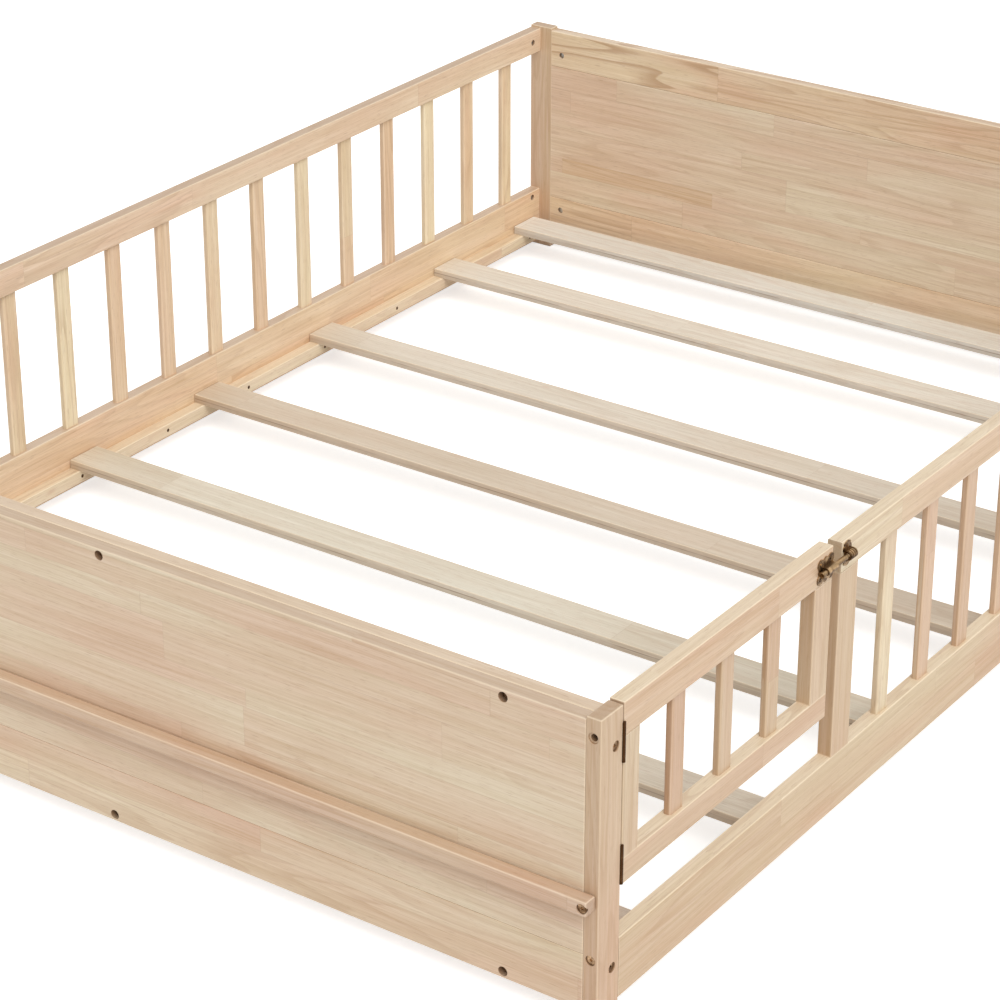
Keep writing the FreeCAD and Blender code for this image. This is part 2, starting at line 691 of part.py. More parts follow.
def make_keeper(lobe_centres):
    """Scalloped plate on the fixed rail, with the ribbed barrel that the bolt enters."""
    lobes = [(lobe_x, lobe_z, lobe_radius) for lobe_x, lobe_z in lobe_centres]
    for lobe_x in (keeper_x[0] + small_lobe_radius, keeper_x[1] - small_lobe_radius):
        for side in (-1, 1):
            lobes.append((lobe_x, latch_axis_z + side * keeper_shoulder, small_lobe_radius))
    keeper = scalloped_plate(keeper_x, latch_z, lobes)
    hole_radius = bolt_radius + keeper_clearance
    outer_radius = hole_radius + keeper_wall
    keeper = keeper.fuse(barrel_on_plate((keeper_mouth, keeper_mouth + keeper_barrel_long), outer_radius))
    rib_pitch = keeper_barrel_long / keeper_rib_count
    for number in range(keeper_rib_count):
        rib_start = keeper_mouth + number * rib_pitch + (rib_pitch - keeper_rib_wide) / 2
        rib_x = (rib_start, rib_start + keeper_rib_wide)
        keeper = keeper.fuse(barrel_on_plate(rib_x, outer_radius + keeper_rib))
    return keeper.cut(rod(point(keeper_x[0], -bolt_standoff, latch_axis_z), X, hole_radius, keeper_length))


def make_latch_bolt():
    """Round bolt with a chamfered tip, and a dimpled finial to push it by."""
    start = point(finial_end, -bolt_standoff, latch_axis_z)
    bolt = rod(start, X, bolt_radius, bolt_tip - finial_end)
    bolt = bolt.makeChamfer(bolt_tip_chamfer, round_edges_at(bolt, bolt_tip))
    finial = rod(start, X * -1, finial_radius, finial_long)
    outer_end = finial_end - finial_long
    finial = finial.makeFillet(finial_round, round_edges_at(finial, outer_end))
    dimple = rod(point(outer_end, -bolt_standoff, latch_axis_z), X, dimple_radius, dimple_depth)
    return bolt.fuse(finial.cut(dimple))


def make_latch():
    """Barrel bolt: plate with its tunnel on the gate, the bolt, and the keeper on the gate post."""
    lobe_rows = (latch_z[0] + lobe_radius, latch_z[1] - lobe_radius)
    plate_columns = (gate_end - latch_plate_length + lobe_radius, gate_end - lobe_radius)
    places = {
        "latch_plate": [(x, z) for x in plate_columns for z in lobe_rows],
        "latch_keeper": [(sum(keeper_x) / 2, z) for z in lobe_rows],
    }
    groups = {
        "latch_plate": ("latch_plate_screws", "gate_top_rail"),
        "latch_keeper": ("keeper_screws", "front_top_rail"),
    }
    for plate, centres in places.items():
        group, rail = groups[plate]
        for x, z in centres:
            drive_screw(group, point(x, -latch_plate_thick, z), Y, plate_head_radius, plate_head_thick,
                        plate_shank_radius, latch_plate_thick + plate_screw_in_wood, (plate, rail),
                        proud=plate_head_thick)
    return {
        "latch_plate": make_latch_plate(places["latch_plate"]),
        "latch_bolt": make_latch_bolt(),
        "latch_keeper": make_keeper(places["latch_keeper"]),
    }


def make_bed():
    pieces = {}
    pieces.update(make_posts())
    pieces.update(make_ends())
    pieces.update(make_ledge())
    pieces.update(make_back())
    pieces.update(make_front())
    pieces.update(make_gate())
    pieces.update(make_base())
    pieces.update(make_hinge("lower_hinge", gate_bottom + hinge_inset))
    pieces.update(make_hinge("upper_hinge", gate_top - upper_hinge_drop - hinge_height))
    pieces.update(make_latch())
    fasten_layers()
    bolt_sides()
    bolt_ends()
    dowel_sides()
    for name, tools in hardware.holes.items():
        pieces[name] = cut_all(pieces[name], tools)
    for name, solids in hardware.groups.items():
        pieces[name] = Part.makeCompound(solids)
    return pieces


def main():
    os.makedirs("parts", exist_ok=True)
    footprint_middle = point((bed_length - ledge_size) / 2, (bed_width - keeper_reach) / 2, 0)
    for name, shape in make_bed().items():
        shape.translate(footprint_middle * -1)
        shape.exportStep("parts/%s.step" % name)
        solids = len(shape.Solids)
        print("%-28s %3d solids, volume %12.1f, valid %s" % (name, solids, shape.Volume, shape.isValid()))


main()
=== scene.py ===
# %% [markdown]
# # A toddler floor bed in pale jointed wood
#
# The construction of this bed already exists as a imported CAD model: posts, panels, rails, spindles, a small
# gate, slats and hardware. Here we give it its looks. We load the CAD model as a fixed frame, set the camera,
# and then dress each piece in a material of its own. Nothing that the CAD built is moved.

# %% Load the frame
import bpy
import bmesh
import math
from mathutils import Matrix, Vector


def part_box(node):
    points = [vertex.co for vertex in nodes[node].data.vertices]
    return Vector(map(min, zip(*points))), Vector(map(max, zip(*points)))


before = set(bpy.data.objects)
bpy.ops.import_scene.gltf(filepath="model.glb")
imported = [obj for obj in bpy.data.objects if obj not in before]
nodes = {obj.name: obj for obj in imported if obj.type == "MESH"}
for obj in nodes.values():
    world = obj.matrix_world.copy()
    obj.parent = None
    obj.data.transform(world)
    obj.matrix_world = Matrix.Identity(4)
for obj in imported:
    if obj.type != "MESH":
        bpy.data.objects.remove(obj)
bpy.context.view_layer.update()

# %% [markdown]
# ## The camera
#
# The picture was taken from the foot corner, from above and with a long lens, so that parallel rails stay
# almost parallel. A camera is easiest to understand as a place, an angle round the bed, an angle down and a
# lens. We turn those four into a camera, without any lens shift, so that every other view frames well too.

# %% Place the camera
CAMERA_PLACE = Vector((-3.4641, -2.3238, 2.1425))
CAMERA_TURN = -54.95    # degrees round the bed from straight in front of the gate side
CAMERA_DOWN = 26.34     # degrees below the horizon
IMAGE_WIDTH_MM = 36.0
LENS_MM = 114.1
CAMERA_REACH = 100.0    # metres that the camera can see

camera_data = bpy.data.cameras.new("photo_camera")
camera_data.sensor_width = IMAGE_WIDTH_MM
camera_data.lens = LENS_MM
camera_data.clip_end = CAMERA_REACH
camera = bpy.data.objects.new("photo_camera", camera_data)
bpy.context.scene.collection.objects.link(camera)
camera.rotation_euler = (math.radians(90.0 - CAMERA_DOWN), 0.0, math.radians(CAMERA_TURN))
camera.location = CAMERA_PLACE
bpy.context.scene.camera = camera
print("camera at", tuple(camera.location), "lens", LENS_MM)

# %% [markdown]
# ## Small helpers for node trees
#
# Materials are graphs of small nodes, and wiring them one by one is long to read. These helpers keep the
# cells short. The first makes a node group with named sockets. The second wires whatever it is given: a plain
# number, or another node's output.

# %% Helpers that make groups and wires
SOCKET_KINDS = {"f": "NodeSocketFloat", "v": "NodeSocketVector", "c": "NodeSocketColor"}


def new_group(name, inputs, outputs):
    """Empty shader node group. inputs are (name, kind, default), outputs are (name, kind)."""
    group = bpy.data.node_groups.new(name, "ShaderNodeTree")
    for socket_name, kind, default in inputs:
        socket = group.interface.new_socket(socket_name, in_out="INPUT", socket_type=SOCKET_KINDS[kind])
        socket.default_value = default
    for socket_name, kind in outputs:
        group.interface.new_socket(socket_name, in_out="OUTPUT", socket_type=SOCKET_KINDS[kind])
    entrance = group.nodes.new("NodeGroupInput")
    way_out = group.nodes.new("NodeGroupOutput")
    return group, entrance.outputs, way_out.inputs


def feed(tree, socket, value):
    """Wire an output into a socket, or write a plain value on it."""
    if isinstance(value, bpy.types.NodeSocket):
        tree.links.new(value, socket)
    else:
        socket.default_value = value


def place_group(tree, group, **values):
    """Put a group into a tree, and feed its sockets by their names."""
    node = tree.nodes.new("ShaderNodeGroup")
    node.node_tree = group
    for name, value in values.items():
        feed(tree, node.inputs[name.replace("_", " ")], value)
    return node.outputs


print("group helpers ready")

# %% [markdown]
# Most of a pattern is arithmetic on places. We need sums of single numbers, places made of three numbers, and
# the three numbers of a place.

# %% Helpers for numbers and places
def maths(tree, operation, *values, clamp=False):
    node = tree.nodes.new("ShaderNodeMath")
    node.operation = operation
    node.use_clamp = clamp
    for socket, value in zip(node.inputs, values):
        feed(tree, socket, value)
    return node.outputs[0]


def vector(tree, x, y, z):
    node = tree.nodes.new("ShaderNodeCombineXYZ")
    for socket, value in zip(node.inputs, (x, y, z)):
        feed(tree, socket, value)
    return node.outputs[0]


def split(tree, value):
    node = tree.nodes.new("ShaderNodeSeparateXYZ")
    feed(tree, node.inputs[0], value)
    return node.outputs


def to_whole(tree, value):
    """Distance from a value to the nearest whole number."""
    return maths(tree, "PINGPONG", value, 0.5)


print("number helpers ready")

# %% [markdown]
# The rest is chance, masks and colour. A mask is a number from 0 to 1 that says how much of something shows.

# %% Helpers for chance, masks and colour
COLOUR_A, COLOUR_B, COLOUR_OUT = 6, 7, 2    # a Mix node's colour sockets, behind those for numbers and places


def noise(tree, place, scale=1.0, detail=2.0, roughness=0.5):
    """Soft noise from 0 to 1 at a place."""
    node = tree.nodes.new("ShaderNodeTexNoise")
    feed(tree, node.inputs["Vector"], place)
    feed(tree, node.inputs["Scale"], scale)
    node.inputs["Detail"].default_value = detail
    node.inputs["Roughness"].default_value = roughness
    return node.outputs["Fac"]


def chance(tree, place):
    """One random value and one random colour for each whole-number place."""
    node = tree.nodes.new("ShaderNodeTexWhiteNoise")
    feed(tree, node.inputs["Vector"], place)
    return node.outputs["Value"], node.outputs["Color"]


def spread(tree, value, low, high, to_low=0.0, to_high=1.0, smooth=True):
    """Map low..high to to_low..to_high, smoothly and without passing the ends."""
    node = tree.nodes.new("ShaderNodeMapRange")
    node.interpolation_type = "SMOOTHSTEP" if smooth else "LINEAR"
    for name, item in (("Value", value), ("From Min", low), ("From Max", high),
                       ("To Min", to_low), ("To Max", to_high)):
        feed(tree, node.inputs[name], item)
    return node.outputs["Result"]


def mix_colour(tree, share, first, second, blend="MIX"):
    node = tree.nodes.new("ShaderNodeMix")
    node.data_type = "RGBA"
    node.blend_type = blend
    feed(tree, node.inputs["Factor"], share)
    feed(tree, node.inputs[COLOUR_A], first)
    feed(tree, node.inputs[COLOUR_B], second)
    return node.outputs[COLOUR_OUT]


def stain(tree, colour, mask, share, stain_colour):
    """Let a share of another colour show where the mask says so."""
    return mix_colour(tree, maths(tree, "MULTIPLY", mask, share), colour, stain_colour)


def srgb(red, green, blue):
    """Screen colour, 0 to 255 each, as the linear colour that a shader wants."""
    def linear(value):
        value = value / 255.0
        return value / 12.92 if value <= 0.04045 else ((value + 0.055) / 1.055) ** 2.4
    return (linear(red), linear(green), linear(blue), 1.0)


print("colour helpers ready")

# %% [markdown]
# ## How the boards are made up
#
# Beds like this are built from short lengths of hardwood, joined end to end with fingers and glued edge to
# edge. On a face you see rows of staves, each a little creamier or pinker than the next, with hardly visible
# butt lines. We compute this as a solid pattern in three directions (along the grain, across the face,
# through the thickness), so that it runs on correctly round every edge. The rows are of uneven width, as
# sawn. The group puts out two random values for each stave, the thin joint lines, and a place of its own for
# each stave, so that the grain breaks off at the joints.

# %% Stave sizes
ROW_BEND = 2.7                              # how quickly the width changes from row to row
ROW_CHANCE = 3.7                            # keeps a row's chance apart from a stave's
FINGER_PITCH = 0.0022                       # metres from a finger's root to its tip, through the thickness
FINGER_SLOPE = 3.2                          # how far a finger reaches along the grain for its width
SWAY_RATE = 2.9                             # how often the butt lines shift along a board
SWAY_START = 31.0                           # spreads the start of that shift from row to row
SWAY_REACH = 0.13                           # metres that they shift
ROW_START = 17.0                            # stave lengths that rows are set off by, at most
ROW_LINE = (0.0001, 0.0007, 1.0, 0.0)       # metres over which a glue line fades, and its strength
END_LINE = (0.0002, 0.0008, 0.7, 0.0)       # the same for a butt line
STAVE_REACH = (9.0, 5.0, 3.0)               # metres that a stave's own place is moved by, at most
print("glue lines fade within", ROW_LINE[1], "m")

# %% Stave group
stave_group, into, out = new_group(
    "jointed_staves",
    [("Along", "f", 0.0), ("Across", "f", 0.0), ("Through", "f", 0.0), ("Row Width", "f", 0.05),
     ("Uneven", "f", 0.25), ("Stave Length", "f", 0.5), ("Seed", "f", 0.0)],
    [("Tone", "f"), ("Chance", "f"), ("Joint", "f"), ("Place", "v")])
tree = stave_group
even_row = maths(tree, "DIVIDE", into["Across"], into["Row Width"])
row_bend = maths(tree, "SINE", maths(tree, "MULTIPLY_ADD", even_row, ROW_BEND, into["Seed"]))
row_place = maths(tree, "MULTIPLY_ADD", row_bend, into["Uneven"], even_row)
row = maths(tree, "FLOOR", row_place)
row_random, _ = chance(tree, vector(tree, row, into["Seed"], ROW_CHANCE))

zigzag = maths(tree, "MULTIPLY", maths(tree, "PINGPONG", into["Through"], FINGER_PITCH), FINGER_SLOPE)
sway_start = maths(tree, "MULTIPLY", row_random, SWAY_START)
sway = maths(tree, "SINE", maths(tree, "MULTIPLY_ADD", into["Along"], SWAY_RATE, sway_start))
along = maths(tree, "ADD", maths(tree, "MULTIPLY_ADD", sway, SWAY_REACH, into["Along"]), zigzag)
length_place = maths(tree, "ADD", maths(tree, "DIVIDE", along, into["Stave Length"]),
                     maths(tree, "MULTIPLY", row_random, ROW_START))
stave = maths(tree, "FLOOR", length_place)
_, stave_colour = chance(tree, vector(tree, stave, row, into["Seed"]))
first, second, third = split(tree, stave_colour)

row_edge = maths(tree, "MULTIPLY", to_whole(tree, row_place), into["Row Width"])
end_edge = maths(tree, "MULTIPLY", to_whole(tree, length_place), into["Stave Length"])
joint = maths(tree, "MAXIMUM", spread(tree, row_edge, *ROW_LINE), spread(tree, end_edge, *END_LINE))
ways = (into["Along"], into["Across"], into["Through"])
moved = [maths(tree, "MULTIPLY_ADD", random_value, reach, way)
         for random_value, reach, way in zip((third, second, first), STAVE_REACH, ways)]
feed(tree, out["Tone"], first)
feed(tree, out["Chance"], second)
feed(tree, out["Joint"], joint)
feed(tree, out["Place"], vector(tree, *moved))
print("stave group:", len(tree.nodes), "nodes")

# %% [markdown]
# ## The grain itself
#
# The lines in a board are its growth rings, cut through at a slant. If we stretch a soft noise a long way
# along the grain and draw its height lines, we get the same long flames and parallel lines, and small arcs on
# the ends. Over them lie fine streaks, and the short dark dashes of the pores.

# %% Grain sizes
# Noises: repeats in a metre along the grain, repeats across it, detail, roughness
HILL = (1.3, 15.0, 1.5, 0.5)
WOBBLE = (7.0, 60.0, 1.0, 0.5)
STREAKS = (2.6, 150.0, 3.0, 0.6)
FINE_STREAKS = (9.0, 620.0, 2.0, 0.6)
PORES = (55.0, 1000.0, 1.0, 0.5)
WOBBLE_SHARE = 0.055                        # how much the wobble bends a ring
RING_RISE = (0.45, 0.93)                    # a ring darkens slowly, then ends sharply
RING_FALL = (0.93, 1.0, 1.0, 0.0)
PORE_RANGE = (0.60, 0.74)                   # only the highest noise makes a pore
FINE_RELIEF = 0.5
RING_RELIEF = 0.3
PORE_RELIEF = 0.6
print("pores repeat", PORES[0], "times in a metre along the grain")

# %% Grain group
def stretched_noise(tree, parts, along_scale, cross_scale, detail, roughness):
    """Noise drawn out along the grain, the first of the three parts of a place."""
    scales = (along_scale, cross_scale, cross_scale)
    place = vector(tree, *[maths(tree, "MULTIPLY", part, scale) for part, scale in zip(parts, scales)])
    return noise(tree, place, 1.0, detail, roughness)


grain_group, into, out = new_group(
    "wood_grain",
    [("Place", "v", (0.0, 0.0, 0.0)), ("Lines", "f", 13.0)],
    [("Flames", "f"), ("Streaks", "f"), ("Fine", "f"), ("Pores", "f"), ("Height", "f")])
tree = grain_group
parts = split(tree, into["Place"])
hill = maths(tree, "MULTIPLY_ADD", stretched_noise(tree, parts, *WOBBLE), WOBBLE_SHARE,
             stretched_noise(tree, parts, *HILL))
ring_place = maths(tree, "FRACT", maths(tree, "MULTIPLY", hill, into["Lines"]))
flames = maths(tree, "MULTIPLY", spread(tree, ring_place, *RING_RISE), spread(tree, ring_place, *RING_FALL))
fine = stretched_noise(tree, parts, *FINE_STREAKS)
pores = spread(tree, stretched_noise(tree, parts, *PORES), *PORE_RANGE)
feed(tree, out["Flames"], flames)
feed(tree, out["Streaks"], stretched_noise(tree, parts, *STREAKS))
feed(tree, out["Fine"], fine)
feed(tree, out["Pores"], pores)
raised = maths(tree, "SUBTRACT", maths(tree, "MULTIPLY", flames, RING_RELIEF),
               maths(tree, "MULTIPLY", pores, PORE_RELIEF))
feed(tree, out["Height"], maths(tree, "ADD", maths(tree, "MULTIPLY", fine, FINE_RELIEF), raised))
print("grain group:", len(tree.nodes), "nodes")

# %% [markdown]
# ## Knots and small marks
#
# Every few hands' breadths the photo shows a small brown pin knot or a drawn-out fleck. A cell pattern puts
# one possible mark in each cell; most cells stay empty. The mark is longer along the grain than across it.

# %% Knot group
KNOT_ALONG = 0.45          # cells are stretched along the grain and through the board
KNOT_THROUGH = 0.5
KNOT_EDGE_SCALE = 420.0    # repeats in a metre of the noise that roughens a knot's edge
KNOT_EDGE_REACH = 0.0012   # metres that it moves the edge
SMALLEST_KNOT = 0.4        # of the given size; the largest is 1 more
KNOT_HEART = 0.5           # share of a knot that is fully dark
HALO_WIDTH = 5.0           # knot sizes that its halo reaches

knot_group, into, out = new_group(
    "pin_knots",
    [("Place", "v", (0.0, 0.0, 0.0)), ("Cell", "f", 0.13), ("Share", "f", 0.4), ("Size", "f", 0.0024)],
    [("Knot", "f"), ("Halo", "f")])
tree = knot_group
along, across, through = split(tree, into["Place"])
cells = tree.nodes.new("ShaderNodeTexVoronoi")
cells.voronoi_dimensions = "3D"
cells.feature = "F1"
feed(tree, cells.inputs["Vector"], vector(tree, maths(tree, "MULTIPLY", along, KNOT_ALONG), across,
                                          maths(tree, "MULTIPLY", through, KNOT_THROUGH)))
feed(tree, cells.inputs["Scale"], maths(tree, "DIVIDE", 1.0, into["Cell"]))
cell_random = split(tree, cells.outputs["Color"])
present = maths(tree, "LESS_THAN", cell_random[0], into["Share"])
distance = maths(tree, "MULTIPLY", cells.outputs["Distance"], into["Cell"])
distance = maths(tree, "MULTIPLY_ADD", noise(tree, into["Place"], KNOT_EDGE_SCALE), KNOT_EDGE_REACH, distance)
size = maths(tree, "MULTIPLY", into["Size"], maths(tree, "ADD", cell_random[1], SMALLEST_KNOT))
knot = spread(tree, distance, maths(tree, "MULTIPLY", size, KNOT_HEART), size, 1.0, 0.0)
halo = spread(tree, distance, size, maths(tree, "MULTIPLY", size, HALO_WIDTH), 1.0, 0.0)
feed(tree, out["Knot"], maths(tree, "MULTIPLY", knot, present))
feed(tree, out["Halo"], maths(tree, "MULTIPLY", halo, present))
print("knot group:", len(tree.nodes), "nodes")

# %% [markdown]
# ## Edges, holes and end grain
#
# Three things on a wooden part depend on where you are on it. Its sanded edges get a pale line, partly wear
# where they are rubbed thin and partly a painted highlight, stronger on edges that look up. The inside of a
# drilled hole gets a painted shade, but the flat floor of a shallow counterbore loses most of it. And its
# ends, cut across the grain, soak up more lacquer and are browner. All three come from the piece's own box:
# near an edge, two of the three distances to its faces are small, and inside a hole, none is. How round the
# edges are says how deep that starts.

# %% Face sizes
ROUND_SHARE = 0.45                       # an edge's middle lies this share of its round in from the box
HOLE_FADE = 0.0005                       # metres in which a hole's painted shade fades in
EDGE_LINE = (0.0004, 0.0022, 1.0, 0.0)   # metres where the pale line of wear and painted highlight starts and ends to fade
FLAT_FACE = (0.85, 0.95)                 # how squarely a face has to look along one direction to be flat
SHALLOW = (0.0022, 0.0030, 1.0, 0.0)     # metres at which a hole stops being shallow
FLOOR_LIGHT = -0.8                       # how much of the painted hole shade a shallow floor loses
LOOKS_UP = (0.25, 0.85)                  # normals that count as a top
EDGE_HIGHLIGHT_FROM_ABOVE = (-0.3, 0.5, 0.35, 1.0)   # painted highlight: edges that look down get less of it
LOOKS_ALONG = (0.6, 0.9)                 # normals that count as an end
print("holes turn dark within", HOLE_FADE, "m")

# %% Face group
face_group, into, out = new_group(
    "piece_faces",
    [("Place", "v", (0.0, 0.0, 0.0)), ("Normal", "v", (0.0, 0.0, 1.0)), ("Low", "v", (0.0, 0.0, 0.0)),
     ("High", "v", (1.0, 1.0, 1.0)), ("Grain Axis", "v", (0.0, 0.0, 1.0)), ("Round", "f", 0.0015)],
    [("Edge Wear And Highlight", "f"), ("Inside", "f"), ("End", "f"), ("Up", "f")])
tree = face_group
place = split(tree, into["Place"])
low = split(tree, into["Low"])
high = split(tree, into["High"])
to_faces = [maths(tree, "MINIMUM", maths(tree, "SUBTRACT", place[axis], low[axis]),
                  maths(tree, "SUBTRACT", high[axis], place[axis])) for axis in range(3)]
nearer = maths(tree, "MINIMUM", to_faces[0], to_faces[1])
further = maths(tree, "MAXIMUM", to_faces[0], to_faces[1])
deepest_in = maths(tree, "MINIMUM", nearer, to_faces[2])
to_edge = maths(tree, "MAXIMUM", nearer, maths(tree, "MINIMUM", further, to_faces[2]))
round_depth = maths(tree, "MULTIPLY", into["Round"], ROUND_SHARE)
# Inside a hole the colour gets a painted shade; a shallow flat floor loses most of it
inside = spread(tree, deepest_in, round_depth, maths(tree, "ADD", round_depth, HOLE_FADE))

normal = split(tree, into["Normal"])
hole_floor = 0.0
for axis in range(3):
    facing = spread(tree, maths(tree, "ABSOLUTE", normal[axis]), *FLAT_FACE)
    shallow = spread(tree, to_faces[axis], *SHALLOW)
    hole_floor = maths(tree, "MAXIMUM", hole_floor, maths(tree, "MULTIPLY", facing, shallow))
shade_kept = maths(tree, "MULTIPLY_ADD", hole_floor, FLOOR_LIGHT, 1.0)
# Pale edge line, partly wear and partly a painted highlight that is stronger on edges that look up
edge_wear_and_highlight = maths(tree, "MULTIPLY", spread(tree, to_edge, *EDGE_LINE), spread(tree, normal[2], *EDGE_HIGHLIGHT_FROM_ABOVE))
lean = tree.nodes.new("ShaderNodeVectorMath")
lean.operation = "DOT_PRODUCT"
feed(tree, lean.inputs[0], into["Normal"])
feed(tree, lean.inputs[1], into["Grain Axis"])
feed(tree, out["Edge Wear And Highlight"], maths(tree, "MULTIPLY", edge_wear_and_highlight, maths(tree, "SUBTRACT", 1.0, inside)))
feed(tree, out["Inside"], maths(tree, "MULTIPLY", inside, shade_kept))
feed(tree, out["End"], spread(tree, maths(tree, "ABSOLUTE", lean.outputs["Value"]), *LOOKS_ALONG))
feed(tree, out["Up"], spread(tree, normal[2], *LOOKS_UP))
print("face group:", len(tree.nodes), "nodes")

# %% [markdown]
# ## The colours of the wood
#
# The wood goes from a brown pink to a yellow cream, and the slats are greyer. Some pieces show a top edge
# that is paler or browner than their sides, so tops have colours of their own. The colours of rings, pores,
# knots, joints and ends stand beside them, with the cream of the edge line, partly wear and partly painted
# highlight, and the browns of the painted shade in holes and crevices, so that all of them can be judged
# together.

# %% Wood tones
WARM_TONES = [
    (0.00, srgb(205, 175, 147)),   # brown pink
    (0.25, srgb(216, 187, 160)),   # pink tan
    (0.50, srgb(218, 195, 167)),   # tan
    (0.75, srgb(222, 205, 177)),   # grey cream
    (1.00, srgb(231, 215, 184)),   # yellow cream
]
SLAT_TONES = [
    (0.00, srgb(211, 194, 172)),
    (0.35, srgb(220, 206, 187)),
    (0.70, srgb(228, 216, 199)),
    (1.00, srgb(232, 223, 208)),
]
CREAM_TOP = srgb(241, 224, 194)
TAN_TOP = srgb(228, 208, 182)
DUSTY_TOP = srgb(209, 186, 162)
BROWN_TOP = srgb(197, 173, 148)
PINK_WOOD = srgb(221, 184, 158)
HONEY_WOOD = srgb(204, 166, 124)
RING_BROWN = srgb(178, 138, 100)
PORE_BROWN = srgb(166, 126, 92)
HALO_BROWN = srgb(198, 150, 116)
KNOT_BROWN = srgb(122, 86, 58)
JOINT_BROWN = srgb(160, 122, 88)
LOWER_PLY = srgb(150, 134, 116)
GLUE_BROWN = srgb(128, 98, 72)
# Painted shade where a piece lies on another
CREVICE_SHADE_BROWN = srgb(118, 88, 62)
END_BROWN = srgb(160, 128, 100)
# Pale edge line, partly wear and partly painted highlight
EDGE_WEAR_AND_HIGHLIGHT_CREAM = srgb(244, 227, 199)
# Painted shade inside holes
HOLE_SHADE_BROWN = srgb(126, 91, 60)


def tone_ramp(tree, value, tones):
    """Colour of a value from 0 to 1 on a list of tones."""
    ramp = tree.nodes.new("ShaderNodeValToRGB")
    elements = ramp.color_ramp.elements
    while len(elements) < len(tones):
        elements.new(0.5)    # any place will do, since the next loop sets it
    for element, (position, colour) in zip(elements, tones):
        element.position = position
        element.color = colour
    feed(tree, ramp.inputs["Fac"], value)
    return ramp.outputs["Color"]


print("wood tones:", len(WARM_TONES), "and", len(SLAT_TONES))

# %% [markdown]
# ## From boards to colour
#
# Soft clouds of pinker and creamier wood run across the staves, so that no stave stands out like a tile. On
# the wide panels, one stave in twenty or so is a honey brown. The tint then scales the colour of each piece
# on its own, and the top gets a colour of its own.

# %% Board colour
CLOUD_ALONG, CLOUD_ACROSS = 2.0, 9.0    # repeats in a metre
CLOUD_DETAIL = 3.0
CLOUD_CONTRAST = 1.3
CLOUD_SEED = 1.7
PINK_SCALE = 1.9                        # repeats of the pink clouds for one of the others
PINK_RANGE = (0.50, 0.75)
PINK_SHARE, PLY_PINK_SHARE = 0.42, 0.12
HONEY_RANGE = (0.94, 0.97, 0.0, 0.42)   # only the highest chance makes a honey stave
PANEL_ROWS = 2                          # a piece with more rows than this is a glued panel
TOP_SHARE = 0.85


def board_colour(tree, parts, staves, along_axis, seed, tones, stave_contrast, pink_share, is_panel):
    """Colour of the boards, before any line or mark is drawn on them."""
    stretch = [CLOUD_ACROSS] * 3
    stretch[along_axis] = CLOUD_ALONG
    cloud_place = vector(tree, *[maths(tree, "MULTIPLY_ADD", parts[axis], stretch[axis], seed * CLOUD_SEED)
                                 for axis in range(3)])
    cloud = noise(tree, cloud_place, 1.0, CLOUD_DETAIL)
    pink = noise(tree, cloud_place, PINK_SCALE)
    tone = maths(tree, "MULTIPLY_ADD", maths(tree, "SUBTRACT", staves["Tone"], 0.5), stave_contrast, 0.5)
    tone = maths(tree, "MULTIPLY_ADD", maths(tree, "SUBTRACT", cloud, 0.5), CLOUD_CONTRAST, tone)
    colour = tone_ramp(tree, tone, tones)
    colour = mix_colour(tree, spread(tree, pink, *PINK_RANGE, 0.0, pink_share), colour, PINK_WOOD)
    if is_panel:
        colour = mix_colour(tree, spread(tree, staves["Chance"], *HONEY_RANGE), colour, HONEY_WOOD)
    return colour


print("clouds repeat", CLOUD_ALONG, "times in a metre along the grain")

# %% [markdown]
# ## Lines and marks on the wood
#
# Streaks change the brightness a little, and darker streaks are also more saturated, as in real wood. Rings,
# pores, knots and joint lines are then laid over each other as thin stains. The slats are of two plies, so
# their edges show a broken brown glue line, and a darker lower ply.

# %% Grain colour
GRAIN_RANGE = (0.28, 0.72, -0.5, 0.5)
STREAK_SHARE = 0.13
FINE_SHARE = 0.14
STREAK_SATURATION = -1.4
RING_BASE = 0.04           # how much a ring shows on the plainest stave
PORE_SHARE = 0.32
HALO_SHARE = 0.30
KNOT_SHARE = 0.80
JOINT_SHARE = 0.20


def add_grain(tree, colour, staves, grain, flames):
    """Streaks, rings, pores, knots and joint lines over the boards' colour."""
    streaks = spread(tree, grain["Streaks"], *GRAIN_RANGE, smooth=False)
    fine = spread(tree, grain["Fine"], *GRAIN_RANGE, smooth=False)
    shift = maths(tree, "ADD", maths(tree, "MULTIPLY", streaks, STREAK_SHARE),
                  maths(tree, "MULTIPLY", fine, FINE_SHARE))
    brightness = tree.nodes.new("ShaderNodeHueSaturation")
    feed(tree, brightness.inputs["Color"], colour)
    feed(tree, brightness.inputs["Value"], maths(tree, "ADD", shift, 1.0))
    feed(tree, brightness.inputs["Saturation"], maths(tree, "MULTIPLY_ADD", shift, STREAK_SATURATION, 1.0))
    ring_share = maths(tree, "MULTIPLY_ADD", staves["Chance"], flames, RING_BASE)
    knots = place_group(tree, knot_group, Place=staves["Place"])
    colour = stain(tree, brightness.outputs["Color"], grain["Flames"], ring_share, RING_BROWN)
    colour = stain(tree, colour, grain["Pores"], PORE_SHARE, PORE_BROWN)
    colour = stain(tree, colour, knots["Halo"], HALO_SHARE, HALO_BROWN)
    colour = stain(tree, colour, knots["Knot"], KNOT_SHARE, KNOT_BROWN)
    return stain(tree, colour, staves["Joint"], JOINT_SHARE, JOINT_BROWN)


print("pores show at", PORE_SHARE)

# %% Ply edges and painted crevice shade
GLUE_LINE = (0.0003, 0.0012, 1.0, 0.0)    # metres from the middle where the glue line fades
GLUE_SCALE, GLUE_DETAIL = 9.0, 3.0        # repeats in a metre of the gaps in it
GLUE_GAPS = (0.42, 0.62)
GLUE_SHARE = 0.6
LOWER_RANGE = (0.0, 0.0008, 0.20, 0.0)    # the lower ply's own shade
# Share of the painted shade in a crevice
CREVICE_SHADE_SHARE = 0.75


